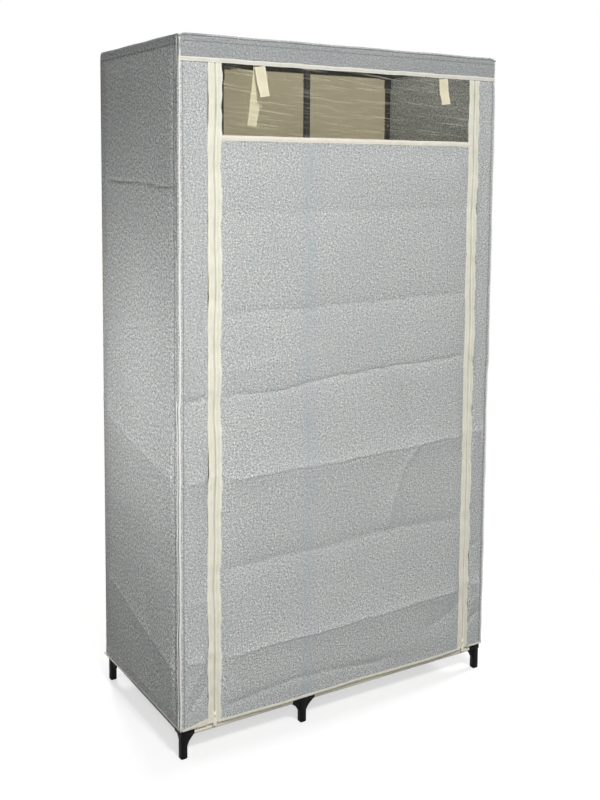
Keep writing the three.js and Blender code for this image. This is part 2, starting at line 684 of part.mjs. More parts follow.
// The window band of the door, then the cloth bands below it
add('window_pane', block(
  point(doorLeft, frontFace, windowBottom + windowBindingHeight + fitGap),
  point(doorRight, frontFace + paneThickness, doorTop),
), 'film');
add('window_binding', block(
  point(doorLeft, frontFace, windowBottom + fitGap / 2),
  point(doorRight, frontFace + clothThickness, windowBottom + windowBindingHeight),
), 'creamCloth');
for (let i = 0; i < clothBands; i++) add(`door_band_${i + 2}`, doorBand(i), 'greyCloth');

// The ties
const strapFrontY = frontFace - fitGap - strapThickness / 2;
const strapRearY = frontFace + clothThickness + fitGap + strapThickness / 2;
const strapX = [strapLeftShare, strapRightShare].map((s) => doorLeft + s * (doorRight - doorLeft));
for (const [name, length, x, y, lean] of [
  ['front_left', strapFrontLength, strapX[0], strapFrontY, strapFrontLeftLean],
  ['front_right', strapFrontLength, strapX[1], strapFrontY, strapFrontRightLean],
  ['rear_left', strapRearLength, strapX[0], strapRearY, strapRearLeftLean],
  ['rear_right', strapRearRightLength, strapX[1], strapRearY, strapRearRightLean],
]) {
  const drop = (strapWidth / 2) * Math.abs(Math.sin(THREE.MathUtils.degToRad(lean)));
  const mesh = add(`strap_${name}`, strap(length), 'creamCloth', point(x, y, doorTop - drop));
  mesh.rotation.y = THREE.MathUtils.degToRad(-lean);
}

// The origin goes to the middle of the whole box
const middle = new THREE.Box3().setFromObject(wardrobe, true).getCenter(point());
wardrobe.position.set(-middle.x, -middle.y, 0);

export default wardrobe;
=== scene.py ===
from math import copysign, cos, pi, radians, sin
import bpy
import numpy as np
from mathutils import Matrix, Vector


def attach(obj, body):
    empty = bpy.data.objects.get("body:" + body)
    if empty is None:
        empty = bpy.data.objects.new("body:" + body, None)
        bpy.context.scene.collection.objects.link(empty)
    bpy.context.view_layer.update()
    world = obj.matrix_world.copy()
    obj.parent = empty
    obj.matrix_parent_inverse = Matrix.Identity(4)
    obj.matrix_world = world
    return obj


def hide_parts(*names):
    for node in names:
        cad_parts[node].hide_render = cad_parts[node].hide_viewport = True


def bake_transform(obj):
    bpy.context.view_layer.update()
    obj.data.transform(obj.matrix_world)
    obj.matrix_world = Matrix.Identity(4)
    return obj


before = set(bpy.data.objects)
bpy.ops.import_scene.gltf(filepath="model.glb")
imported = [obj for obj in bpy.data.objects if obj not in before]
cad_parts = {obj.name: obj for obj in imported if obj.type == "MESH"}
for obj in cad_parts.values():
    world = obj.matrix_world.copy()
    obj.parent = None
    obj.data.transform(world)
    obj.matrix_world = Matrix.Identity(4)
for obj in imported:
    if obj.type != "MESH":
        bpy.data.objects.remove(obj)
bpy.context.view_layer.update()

scene = bpy.context.scene
scene.view_settings.view_transform = "Standard"

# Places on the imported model, in metres
cover = {
    "side": 0.4375, "front": -0.22525, "back": 0.22975, "top": 1.6, "low": 0.07,
    "bend": 0.007, "headerLow": 1.5533, "wall": 0.0011, "inset": 0.0018,
}
posts = {"left": -0.4257, "mid": -0.113, "right": 0.4257, "front": -0.21125, "rear": 0.21575}
shelves = {"lower": 0.53, "upper": 0.99}
door = {
    "left": -0.3481, "right": 0.3641, "top": 1.5427, "low": 0.068,
    "hinges": [1.3779, 1.17937, 0.996722, 0.828686, 0.674092, 0.531867, 0.401019, 0.280639, 0.16989],
}
zips = {"left": -0.354, "right": 0.37, "low": 0.072, "high": 1.5427, "half": 0.0165}


# Selecting and colour helpers
def tone(red, green, blue):
    share = np.array((red, green, blue)) / 255
    plain = np.where(share <= 0.04045, share / 12.92, ((share + 0.055) / 1.055) ** 2.4)
    return (*[float(c) for c in plain], 1.0)


def ease(value, low, high):
    share = np.clip((value - low) / (high - low), 0, 1)
    return share * share * (3 - 2 * share)


def within(value, low, high, fade):
    return ease(value, low, low + fade) * (1 - ease(value, high - fade, high))


def turnTo(mode):
    bpy.ops.object.mode_set(mode=mode)


def pickOnly(piece=None):
    if bpy.context.object and bpy.context.object.mode != "OBJECT":
        turnTo("OBJECT")
    bpy.ops.object.select_all(action="DESELECT")
    if piece:
        piece.select_set(True)
        bpy.context.view_layer.objects.active = piece
    return piece


def applyModifier(piece, kind, **settings):
    pickOnly(piece)
    made = piece.modifiers.new(kind.title(), kind)
    for name, value in settings.items():
        setattr(made, name, value)
    bpy.ops.object.modifier_apply(modifier=made.name)


# Materials
def put(tree, kind, feeds=None, **settings):
    made = tree.nodes.new(f"ShaderNode{kind}")
    for name, value in settings.items():
        setattr(made, name, value)
    for socket, value in (feeds or {}).items():
        if isinstance(value, bpy.types.NodeSocket):
            tree.links.new(value, made.inputs[socket])
        else:
            made.inputs[socket].default_value = value
    return made


def newMaterial(name, roughness, onCloth=False, **sockets):
    # cloth is placed by its UV map in metres, and the rest by Object coordinates
    made = bpy.data.materials.new(name)
    made.use_nodes = True
    tree = made.node_tree
    shader = tree.nodes["Principled BSDF"]
    shader.inputs["Roughness"].default_value = roughness
    for socket, value in sockets.items():
        shader.inputs[socket.replace("_", " ")].default_value = value
    if onCloth:
        place = put(tree, "UVMap", uv_map="UVMap").outputs[0]
    else:
        place = put(tree, "TexCoord").outputs["Object"]
    return made, tree, shader, place


def noise(tree, vector, scale, detail=2.0, stretch=(1, 1, 1), roughness=0.5):
    turned = put(tree, "Mapping", {"Vector": vector, "Scale": stretch})
    made = put(tree, "TexNoise", {
        "Vector": turned.outputs[0], "Scale": scale, "Detail": detail, "Roughness": roughness})
    return made.outputs[0]


def spread(tree, value, fromLow, fromHigh, toLow, toHigh):
    return put(tree, "MapRange", {
        0: value, 1: fromLow, 2: fromHigh, 3: toLow, 4: toHigh}).outputs[0]


def figure(tree, operation, first, second=0.0, third=0.0):
    return put(tree, "Math", {0: first, 1: second, 2: third}, operation=operation).outputs[0]


def plus(tree, first, second):
    return figure(tree, "ADD", first, second)


def minus(tree, first, second):
    return figure(tree, "SUBTRACT", first, second)


def times(tree, first, second):
    return figure(tree, "MULTIPLY", first, second)


def larger(tree, first, second):
    return figure(tree, "MAXIMUM", first, second)


def awayFrom(tree, value, middle):
    return figure(tree, "ABSOLUTE", minus(tree, value, middle))


def partOf(tree, vector, axis):
    return put(tree, "SeparateXYZ", {0: vector}).outputs[axis]


def blendColour(tree, share, first, second):
    return put(tree, "Mix", {0: share, 6: first, 7: second}, data_type="RGBA").outputs[2]


def shadeRamp(tree, value, stops):
    made = put(tree, "ValToRGB", {0: value})
    ramp = made.color_ramp
    while len(ramp.elements) < len(stops):
        ramp.elements.new(0.5)
    for element, (place, colour) in zip(ramp.elements, stops):
        element.position = place
        element.color = colour
    return made.outputs[0]


def relief(tree, shader, height, strength, distance):
    bump = put(tree, "Bump", {"Strength": strength, "Distance": distance, "Height": height})
    tree.links.new(bump.outputs[0], shader.inputs["Normal"])


def dress(tree, shader, colour, roughness, height, strength, distance):
    tree.links.new(colour, shader.inputs["Base Color"])
    tree.links.new(roughness, shader.inputs["Roughness"])
    relief(tree, shader, height, strength, distance)


def mixOut(tree, share, first, second, output="Material Output"):
    both = put(tree, "MixShader", {0: share, 1: first.outputs[0], 2: second.outputs[0]})
    tree.links.new(both.outputs[0], tree.nodes[output].inputs[0])


def letThrough(tree, shader, colour, share):
    mixOut(tree, share, shader, put(tree, "BsdfTranslucent", {"Color": colour}))


# soil is the colour of soiled patches and also of the painted shade on the roof cloth; seam is the colour of
# painted shade in the seam grooves
greyLook = {
    "dark": (126, 130, 133), "mid": (184, 187, 186), "light": (240, 241, 237), "blue": (172, 182, 190),
    "violet": (184, 180, 190), "soil": (120, 123, 126), "seam": (70, 70, 70), "fleck": 335, "coarse": 150,
    "fine": 900, "through": 0.3, "sideContrast": 1.8, "stripContrast": 0.85, "stitches": 300.0,
}
sideRun = cover["back"] - cover["inset"] - cover["front"] - cover["bend"]
# a seam's dark line is painted shade in its groove, in the seam colour and broken by stitches; it lies across in U
# (0) or up in V (1), with its place, its width and how dark it is
sideSeamShades = ((0, 0.0035, 0.0018, 0.6), (0, sideRun - 0.0135, 0.0024, 0.55), (0, sideRun - 0.002, 0.002, 0.45),
             (0, sideRun + 0.0128, 0.002, 0.42), (1, 1.5785, 0.0026, 0.45))
roofSeamShades = ((1, 0.032, 0.0022, 0.35),)


def greyCloth(name, shown=1.0, postPlace=None, seamShades=(), cornerAt=None, shadedTo=None):
    made, tree, shader, place = newMaterial(name, 0.92, True, Sheen_Weight=0.12, Sheen_Roughness=0.5)
    across, along = partOf(tree, place, 0), partOf(tree, place, 1)
    turned = put(tree, "Mapping", {"Vector": place, "Rotation": (0, 0, 0.82)}).outputs[0]
    warp = noise(tree, turned, greyLook["fleck"], 2.0, (0.6, 1.9, 1), 0.6)
    weft = noise(tree, turned, greyLook["fleck"], 2.0, (1.9, 0.6, 1), 0.6)
    fine = noise(tree, place, greyLook["fine"], 1.0)
    patches = noise(tree, place, 7.0, 3.0)
    tints = noise(tree, place, 26.0, 2.0, (1, 0.6, 1))
    threads = plus(tree, times(tree, warp, 0.5), times(tree, weft, 0.5))
    mottled = plus(tree, threads, times(tree, minus(tree, fine, 0.5), 0.3))
    if cornerAt is not None:
        # the flecks stand out more on the side than on the strip round the corner
        bend = cornerAt - 0.01, cornerAt + 0.01
        contrast = spread(tree, across, *bend, greyLook["sideContrast"], greyLook["stripContrast"])
        coarse = minus(tree, noise(tree, turned, greyLook["coarse"], 2.0, roughness=0.6), 0.5)
        mottled = plus(tree, mottled, times(tree, coarse, spread(tree, across, *bend, 0.3, 0.0)))
        mottled = figure(tree, "MULTIPLY_ADD", minus(tree, mottled, 0.5), contrast, 0.5)
    heather = shadeRamp(tree, mottled, [
        (0.41, tone(*greyLook["dark"])), (0.5, tone(*greyLook["mid"])), (0.59, tone(*greyLook["light"]))])
    cool, warm = spread(tree, tints, 0.5, 0.75, 0, 0.5), spread(tree, tints, 0.5, 0.25, 0, 0.35)
    if postPlace is not None:
        # painted shade: a faint bluish band where the post stands behind the thin cloth, as if it showed through
        near = spread(tree, awayFrom(tree, across, postPlace), 0.006, 0.03, 1, 0)
        cool = larger(tree, cool, times(tree, near, spread(tree, tints, 0.35, 0.65, 0.15, 0.85)))
    tinted = blendColour(tree, times(tree, cool, 0.55), heather, tone(*greyLook["blue"]))
    tinted = blendColour(tree, times(tree, warm, 0.5), tinted, tone(*greyLook["violet"]))
    # random soiled patches; where shown is below 1, also painted shade that darkens the cloth, fully up to the
    # given height along V
    soilAndShade = spread(tree, patches, 0.3, 0.7, 1 - shown, 1.07 - shown)
    if shadedTo is not None:
        soilAndShade = times(tree, soilAndShade, spread(tree, along, shadedTo, shadedTo + 0.03, 1.0, 0.2))
    clothColour = blendColour(tree, soilAndShade, tinted, tone(*greyLook["soil"]))
    # painted shade along each seam's groove, broken by stitches
    for axis, line, width, depth in seamShades:
        seamShade = spread(tree, awayFrom(tree, (across, along)[axis], line), width * 0.35, width, depth, 0)
        thread = figure(tree, "FRACT", times(tree, (along, across)[axis], greyLook["stitches"]))
        stitchedShade = times(tree, seamShade, spread(tree, thread, 0.1, 0.4, 0.7, 1))
        clothColour = blendColour(tree, stitchedShade, clothColour, tone(*greyLook["seam"]))
    dress(tree, shader, clothColour, spread(tree, mottled, 0.3, 0.7, 0.86, 0.97), mottled, 0.35, 0.0006)
    letThrough(tree, shader, clothColour, greyLook["through"])
    return made


def backCloth():
    made, tree, shader, place = newMaterial("plain beige cloth", 0.93, True, Sheen_Weight=0.1)
    fibre = noise(tree, place, 260, 3.0, (1, 2.2, 1))
    dimples = put(tree, "TexVoronoi", {"Vector": place, "Scale": 420.0}).outputs[0]
    patches = noise(tree, place, 5.0, 3.0)
    body = shadeRamp(tree, fibre, [(0.3, tone(204, 198, 180)), (0.7, tone(218, 213, 197))])
    clothColour = blendColour(tree, spread(tree, patches, 0.35, 0.7, 0, 0.14), body, tone(186, 176, 152))
    dress(tree, shader, clothColour, spread(tree, fibre, 0.3, 0.7, 0.88, 0.97), plus(tree, fibre, dimples), 0.3, 0.0005)
    letThrough(tree, shader, clothColour, 0.5)
    return made


def creamTape(name, colour, stitches=(), ribs=900.0):
    # across the tape in U, along it in V; stitches are their lines' places across
    made, tree, shader, place = newMaterial(name, 0.85, True, Sheen_Weight=0.15)
    across, along = partOf(tree, place, 0), partOf(tree, place, 1)
    weft = figure(tree, "SINE", times(tree, along, ribs * 2 * pi))
    warp = figure(tree, "SINE", times(tree, across, ribs * 1.3 * pi))
    weave = times(tree, weft, warp)
    soil = noise(tree, place, 38, 3.0)
    height = times(tree, weave, 0.5)
    light, dark, shade = (tone(*[c + change for c in colour]) for change in (4, -9, -40))
    body = shadeRamp(tree, soil, [(0.3, dark), (0.7, light)])
    tinted = blendColour(tree, spread(tree, weave, -1, 1, 0, 0.12), body, shade)
    for inset in stitches:
        line = spread(tree, awayFrom(tree, across, inset), 0.0003, 0.0006, 1, 0)
        dash = figure(tree, "LESS_THAN", figure(tree, "FRACT", times(tree, along, 340.0)), 0.72)
        seam = times(tree, line, dash)
        tinted = blendColour(tree, times(tree, seam, 0.6), tinted, tone(240, 236, 222))
        height = plus(tree, minus(tree, height, times(tree, line, 1.6)), times(tree, seam, 2.2))
    dress(tree, shader, tinted, spread(tree, soil, 0.3, 0.7, 0.8, 0.92), height, 0.5, 0.00025)
    return made


def clearFilm():
    made, tree, shader, place = newMaterial("clear film", 0.12, True, Base_Color=tone(236, 232, 218))
    slanted = put(tree, "Mapping", {"Vector": place, "Rotation": (0, 0, 0.09)}).outputs[0]
    streaks = noise(tree, slanted, 75.0, 3.0, (0.09, 2.6, 1), 0.65)
    glints = put(tree, "TexVoronoi", {"Vector": place, "Scale": 24.0}).outputs[0]
    tree.links.new(spread(tree, streaks, 0.3, 0.75, 0.06, 0.3), shader.inputs["Roughness"])
    relief(tree, shader, noise(tree, place, 16.0, 2.0, (0.35, 1.6, 1)), 0.6, 0.004)
    # painted reflection streaks and painted glints turn part of the film into the lit cream shader; towards
    # grazing angles it does so more
    reflectionStreaks = spread(tree, streaks, 0.52, 0.74, 0.014, 0.15)
    spark = spread(tree, glints, 0.02, 0.05, 0.7, 0.0)
    facing = put(tree, "LayerWeight", {"Blend": 0.5}).outputs["Facing"]
    edge = times(tree, figure(tree, "POWER", facing, 4.0), 0.35)
    share = larger(tree, plus(tree, reflectionStreaks, edge), spark)
    mixOut(tree, share, put(tree, "BsdfTransparent", {"Color": (0.97, 0.97, 0.95, 1)}), shader)
    return made


def moulded():
    made, tree, shader, place = newMaterial("moulded black plastic", 0.5, Specular_IOR_Level=0.1)
    grain = noise(tree, place, 900, 2.0)
    scuffs = noise(tree, place, 60, 4.0, (1, 1, 0.4), 0.7)
    body = blendColour(tree, spread(tree, scuffs, 0.5, 0.75, 0, 0.5), tone(6, 6, 7), tone(20, 20, 21))
    dress(tree, shader, body, spread(tree, scuffs, 0.3, 0.7, 0.45, 0.68), grain, 0.25, 0.0003)
    return made


def dustyGloss(tree, place):
    dust = noise(tree, place, 46, 4.0, (1, 1, 0.3), 0.7)
    return dust, blendColour(tree, spread(tree, dust, 0.52, 0.8, 0, 0.4), tone(12, 12, 13), tone(46, 44, 42))


def blackTube():
    made, tree, shader, place = newMaterial("gloss black tube", 0.22, Specular_IOR_Level=0.26)
    dust, body = dustyGloss(tree, place)
    peel = noise(tree, place, 380, 2.0)
    dress(tree, shader, body, spread(tree, dust, 0.3, 0.75, 0.22, 0.46), peel, 0.12, 0.0004)
    return made


def postMix():
    # gloss on the tube, fine matt where its top fitting and the shelves' sleeves sit
    made, tree, shader, place = newMaterial("black post and its fittings", 0.3, Specular_IOR_Level=0.22)
    height, fitting = partOf(tree, place, 2), 0.0
    for middle, half in ((1.59, 0.0435), (shelves["lower"], 0.0142), (shelves["upper"], 0.0142)):
        fitting = larger(tree, fitting, figure(tree, "LESS_THAN", awayFrom(tree, height, middle), half))
    dust, gloss = dustyGloss(tree, place)
    body = blendColour(tree, fitting, gloss, tone(22, 22, 23))
    rough = plus(tree, spread(tree, dust, 0.3, 0.75, 0.16, 0.4), times(tree, fitting, 0.28))
    dress(tree, shader, body, rough, times(tree, noise(tree, place, 900, 2.0), fitting), 0.25, 0.0003)
    return made


def enamel():
    made, tree, shader, place = newMaterial("cream enamel on zinc", 0.35, Coat_Weight=0.4)
    chips = noise(tree, place, 420, 3.0, roughness=0.7)
    body = blendColour(tree, spread(tree, chips, 0.64, 0.7, 0, 0.8), tone(221, 216, 198), tone(150, 148, 142))
    dress(tree, shader, body, spread(tree, chips, 0.3, 0.7, 0.25, 0.5), chips, 0.15, 0.0003)
    return made


looks = {
    "side": greyCloth("grey side cloth", seamShades=sideSeamShades, cornerAt=sideRun),
    # painted shade darkens the roof cloth, most on its header, where light falls off towards the top
    "roof": greyCloth("grey roof cloth", 0.6, seamShades=roofSeamShades, shadedTo=0.05),
    "door": greyCloth("grey door cloth", postPlace=posts["mid"]),
    "back": backCloth(), "film": clearFilm(), "moulded": moulded(),
    "tube": blackTube(), "post": postMix(), "enamel": enamel(),
    "zip": creamTape("zip tape", (207, 205, 190), (0.0028, 0.0118)),
    "trim": creamTape("cream binding", (208, 204, 191), (0.0018, 0.0082)),
    "tie": creamTape("cotton tie", (204, 197, 171), (0.0022, 0.0238), 520.0),
    "shelf": creamTape("shelf cloth", (219, 215, 198), (), 420.0),
    "cord": creamTape("piping cloth", (208, 209, 203), (), 700.0),
    "teeth": creamTape("nylon teeth", (196, 192, 176), (), 300.0),
    "band": creamTape("header binding", (197, 195, 186), (0.0018, 0.0082)),
}
print("materials made")


def wear(piece, look, smooth):
    # the look, as its material, and smooth shading up to an angle
    piece.data.materials.append(looks[look])
    pickOnly(piece)
    bpy.ops.object.shade_smooth_by_angle(angle=radians(smooth))


def addPiece(name, data):
    piece = bpy.data.objects.new(name, data)
    scene.collection.objects.link(piece)
    return piece


# Cloth sheets: a grid, moved to its place in space, with its UV map in metres on the cloth
def clothSheet(name, across, down, surface, look, wall=None, turned=False, smooth=50):
    pickOnly()
    columns, rows = len(across) - 1, len(down) - 1
    bpy.ops.mesh.primitive_grid_add(x_subdivisions=columns, y_subdivisions=rows, size=2)
    piece = bpy.context.object
    piece.name = piece.data.name = name
    mesh = piece.data
    flat = np.zeros(len(mesh.vertices) * 3)
    mesh.vertices.foreach_get("co", flat)
    flat = flat.reshape(-1, 3)
    i, j = np.rint((flat[:, :2] + 1) / 2 * (columns, rows)).astype(int).T
    s, t = np.asarray(across)[i], np.asarray(down)[j]
    mesh.vertices.foreach_set("co", np.column_stack(surface(s, t)).ravel())
    corners = np.zeros(len(mesh.loops), int)
    mesh.loops.foreach_get("vertex_index", corners)
    pair = (t, s) if turned else (s, t)
    mesh.uv_layers[0].name = "UVMap"
    mesh.uv_layers[0].data.foreach_set("uv", np.column_stack(pair)[corners].ravel())
    mesh.update()
    if wall:
        applyModifier(piece, "SOLIDIFY", thickness=wall, offset=-1.0)
    wear(piece, look, smooth)
    return piece


def settle(piece, body="frame_and_cover", node=None):
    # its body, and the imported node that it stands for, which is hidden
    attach(piece, body)
    if node:
        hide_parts(node)


def shiftUv(piece, byU):
    uv = piece.data.uv_layers[0].data
    flat = np.zeros(len(uv) * 2)
    uv.foreach_get("uv", flat)
    uv.foreach_set("uv", (flat.reshape(-1, 2) + (byU, 0)).ravel())


def steps(low, high, pitch, least=1):
    return np.linspace(low, high, max(least, round(abs(high - low) / pitch)) + 1)


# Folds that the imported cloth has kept. A crest stands out and a hollow lies back, in mm, with
# a fine groove along the middle; places are metres along the cloth and metres up
def foldedBy(along, up, folds):
    total = np.zeros_like(along)
    for crest, reach, line, groove, narrow, fade, upright in folds:
        run, rise = (up, along) if upright else (along, up)
        wander = 0.0014 * np.sin(run * 29 + line[0, 1] * 90) + 0.0008 * np.sin(run * 71 + line[0, 1] * 50)
        off = rise - np.interp(run, line[:, 0], line[:, 1]) - wander
        shown = ease(run, line[0, 0] - fade, line[0, 0]) * (1 - ease(run, line[-1, 0], line[-1, 0] + fade))
        away = np.sqrt(off ** 2 + 2e-6) - 1.4e-3
        out = crest * (0.75 * np.exp(-away / reach) + 0.25 * np.exp(-away / reach * 5))
        total += shown * (out - groove * np.exp(-(off / narrow) ** 2))
    return total / 1000


def waves(along, up, seed, size, count=14, longest=0.5, shortest=0.14):
    chance = np.random.default_rng(seed)
    total = np.zeros_like(along)
    for _ in range(count):
        turn, length = chance.uniform(-0.9, 0.9), chance.uniform(shortest, longest)
        phase = chance.uniform(0, 2 * pi)
        total += np.cos((along * sin(turn) + up * cos(turn)) * 2 * pi / length + phase) * length
    return total / count * size / 1000 * 6


# The main ridges, and the dark lips just under them where the cloth turns in steeply
ridges = {
    "door": [(-0.44, 0.631), (-0.33, 0.629), (-0.023, 0.632), (0.342, 0.645), (0.44, 0.65)],
    "doorLow": [(-0.44, 0.223), (-0.345, 0.219), (-0.166, 0.224), (-0.022, 0.225), (0.34, 0.237), (0.44, 0.243)],
    "side": [(-0.217, 0.636), (-0.201, 0.634), (0.057, 0.674), (0.154, 0.7), (0.227, 0.735)],
    "sideLow": [(-0.191, 0.205), (-0.117, 0.218), (0.018, 0.25), (0.192, 0.29)],
}


def crease(crest, reach, *line, groove=0, narrow=0.002, fade=0.05, upright=False):
    line = np.array(line, float)[:, ::-1 if upright else 1]
    return crest, reach, line[np.argsort(line[:, 0])], groove, narrow, fade, upright


def lipUnder(ridge, drop, groove, narrow):
    return crease(0, 0.03, *[(along, up - drop) for along, up in ridges[ridge]], groove=groove, narrow=narrow)


doorFolds = [
    crease(-4.0, 0.06, (-0.35, 1.222), (0.0, 1.222), (0.365, 1.226)),
    crease(-7.5, 0.06, (-0.35, 1.0), (-0.107, 1.001), (0.365, 1.012), groove=0.3),
    crease(2.6, 0.016, (-0.35, 0.867), (-0.195, 0.887), groove=0.3, fade=0.03),
    crease(-5.0, 0.035, (-0.44, 0.814), (-0.33, 0.817), (-0.195, 0.815), (-0.038, 0.834), (0.12, 0.842),
           (0.365, 0.85), groove=2.2, narrow=0.003),
    crease(9.5, 0.055, *ridges["door"], groove=-0.6, narrow=0.003),
    lipUnder("door", 0.0045, 1.7, 0.0032),
    crease(-7.0, 0.05, (-0.35, 0.423), (-0.023, 0.427), (0.16, 0.435), (0.343, 0.427)),
    crease(9.0, 0.05, *ridges["doorLow"], groove=-0.6, narrow=0.003),
    lipUnder("doorLow", 0.0045, 1.5, 0.0032),
    crease(3.4, 0.014, (0.205, 0.639), (0.159, 0.584), (0.121, 0.459), upright=True, groove=-1.1, narrow=0.003,
           fade=0.03),
    crease(-3.4, 0.014, (0.157, 0.775), (0.192, 0.678), upright=True, groove=0.6, fade=0.03),
    crease(1.8, 0.02, (0.24, 0.8), (0.31, 0.70), (0.34, 0.66), upright=True),
    crease(0.9, 0.01, (-0.114, 0.1), (-0.115, 1.36), upright=True, groove=0.3, narrow=0.003),
    crease(-5.0, 0.024, (-0.33, 0.1), (-0.148, 0.122), (0.1, 0.105), fade=0.06),
    crease(-4.4, 0.024, (0.27, 0.16), (0.36, 0.2)),
]
stripFolds = [
    crease(-2.6, 0.012, (-0.436, 0.085), (-0.375, 0.16), groove=0.8, fade=0.02),
    crease(2.2, 0.012, (-0.436, 0.12), (-0.39, 0.2), fade=0.02),
    crease(1.6, 0.02, (-0.436, 0.36), (-0.375, 0.352), fade=0.02),
    crease(1.6, 0.03, (-0.436, 1.09), (-0.375, 1.1), fade=0.02),
    crease(-3.4, 0.012, (0.384, 0.139), (0.434, 0.166), groove=1.2, fade=0.02),
    crease(2.6, 0.012, (0.384, 0.185), (0.434, 0.21), fade=0.02),
    crease(-1.8, 0.015, (0.384, 0.34), (0.434, 0.36), groove=0.5, fade=0.02),
]
sideFolds = [
    crease(-3.6, 0.02, (-0.241, 1.275), (-0.044, 1.285), (0.173, 1.29), groove=2.6, narrow=0.0045, fade=0.03),
    crease(6.0, 0.05, *ridges["side"]),
    lipUnder("side", 0.005, 2.2, 0.004),
    crease(-1.6, 0.035, (-0.217, 0.817), (-0.12, 0.83), (0.05, 0.85), fade=0.06),
    crease(-1.6, 0.05, (-0.217, 1.0), (0.227, 1.03)),
    crease(-2.0, 0.05, (-0.217, 0.43), (0.227, 0.46)),
    crease(5.0, 0.04, *ridges["sideLow"]),
    lipUnder("sideLow", 0.005, 2.0, 0.004),
    crease(-1.4, 0.024, (-0.14, 0.09), (-0.05, 0.3), (-0.02, 0.36), upright=True),
]
strip = {"puff": 2.8, "sag": 4.4, "flare": 6.0, "corner": 0.013, "cornerReach": 0.024, "seam": 0.0018,
         "pitch": 0.0055, "rise": 0.0042}


def doorRelief(x, z):
    # slack between the zips, pulled flat beside them and under the window
    held = within(x, door["left"], door["right"], 0.05)
    under = 1 - ease(z, 1.30, 1.375)
    hem = 0.4 + 0.6 * ease(z, 0.07, 0.13)
    slack = (0.0062 + waves(x, z, 3, 1.8)) * under * hem
    return (slack + foldedBy(x, z, doorFolds) * (0.25 + 0.75 * under)) * (0.16 + 0.84 * held) + 0.0003


def zipRelief(z, side):
    # the door's creases run on over the zip, soft above and steep below
    total = 0 * z
    for height, crest in ((1.225, 0.8), (1.012, 1.2), (0.834, 2.4), (0.641, 3.0), (0.43, 1.4), (0.237, 2.4)):
        off = z - height - (0.012 if side > 0 else 0)
        total = total + crest / 1000 * np.exp(-np.where(off > 0, off / 0.045, -off / 0.009))
    return total * ease(z, 0.13, 0.2)


def roundedOff(near):
    # how far a quarter circle of the top corner's radius has fallen, near its end
    radius = strip["corner"]
    return radius - np.sqrt(np.clip(radius ** 2 - np.clip(near, 0, radius) ** 2, 0, None))


def wardrobeSide(name, sign, zipPlace, seed):
    # from the back edge, round the front corner, to the zip
    rear, bend, edge = cover["back"] - cover["inset"], cover["bend"], zipPlace + sign * (zips["half"] + 0.0003)
    straight = rear - (cover["front"] + bend)
    turn = bend * pi / 2
    tail = abs(sign * cover["side"] - edge) - bend
    across = np.concatenate([steps(0, straight, strip["pitch"]), straight + turn * np.linspace(0, 1, 9)[1:],
                             straight + turn + steps(0, tail, 0.004)[1:]])
    high = cover["top"] - cover["inset"]

    def surface(s, z):
        angle = np.clip(s - straight, 0, turn) / bend
        past = np.clip(s - straight - turn, 0, None)
        y = np.where(s < straight, rear - s, cover["front"] + bend * (1 - np.sin(angle)))
        x = sign * (cover["side"] - bend * (1 - np.cos(angle)) - past)
        outX, outY = sign * np.cos(angle), -np.sin(angle)
        onSide = 1 - ease(s, straight - 0.03, straight)
        onFront = ease(s, straight + turn, straight + turn + 0.02)
        held = ease(s, 0, 0.05) * onSide
        z = z - roundedOff(strip["corner"] - s) * ease(z, 1.4, high)
        flat = ease(z, cover["low"], 0.1) * (1 - ease(z, 1.53, 1.59))
        out = foldedBy(y, z, sideFolds) * (0.3 + 0.7 * held) * onSide
        out += (strip["sag"] / 1000 + waves(y, z, seed, 2.0)) * held * flat
        creases = foldedBy(x, z, doorFolds) * 1.1 + foldedBy(x, z, stripFolds) * 1.5
        out += creases * onFront * (1 - ease(past, tail - 0.012, tail))
        out += zipRelief(z, sign) * ease(past, tail - 0.014, tail)
        out += waves(x * 3, z, seed + 1, 0.5) * onFront * 0.5 * flat
        middle = straight + turn * 0.5
        corner = ease(s, straight - 0.02, middle) * (1 - ease(s, middle, straight + turn + 0.02))
        out += corner * strip["puff"] / 1000 * (0.25 + 0.75 * ease(z, 0.79, 0.83)) * (1 - ease(z, 1.5, 1.58))
        for seam in (straight + turn + 0.004, straight - 0.003):
            out -= strip["seam"] * np.exp(-((s - seam) / 0.0024) ** 2)
        low = (1 - ease(z, 0.07, 0.105)) * (1 - ease(s, 0.02, 0.25)) * ease(s, -0.01, 0.02)
        out += strip["flare"] / 1000 * low
        out -= 0.0011 * np.exp(-((z - 1.577) / 0.0022) ** 2) * (s < straight)
        # the front strip tucks behind the header and its tape
        behind = ease(z, 1.5425, 1.5429) * ease(s, straight - 0.001, straight + turn * 0.6)
        out = np.where(behind > 0, out * (1 - behind) - 0.0026 * behind, out)
        return x + outX * out, y + outY * out, z + out * 0

    if sign > 0:
        across = across[::-1]
    side = "left" if sign < 0 else "right"
    piece = clothSheet(name, across, steps(cover["low"], high, strip["rise"]), surface, "side", cover["wall"])
    settle(piece, node=f"cover_{side}")


wardrobeSide("left_cover_cloth", -1, zips["left"], 21)
wardrobeSide("right_cover_cloth", 1, zips["right"], 33)
print("sides made")


# Back panel, hanging straighter than the rest
backPanel = {"pitch": 0.012, "rise": 0.009, "crease": 0.0042, "out": (0.223, 0.63, 1.0, 1.42),
             "in": (0.43, 0.82, 1.22)}


def backSurface(s, z):
    x = -s
    held = 1 - ease(np.abs(x), cover["side"] - 0.06, cover["side"])
    out = waves(x, z, 55, 0.75) * held + 0.0004
    for height in sorted(backPanel["out"] + backPanel["in"]):
        crest = 1 if height in backPanel["out"] else -1
        out += held * crest * backPanel["crease"] * np.exp(-np.abs(z - height - 0.01 * x) / 0.03)
    rounded = strip["corner"] * ease(np.abs(x), cover["side"] - strip["cornerReach"], cover["side"])
    return x, cover["back"] + out, z - rounded * ease(z, 1.4, cover["top"] - cover["inset"])


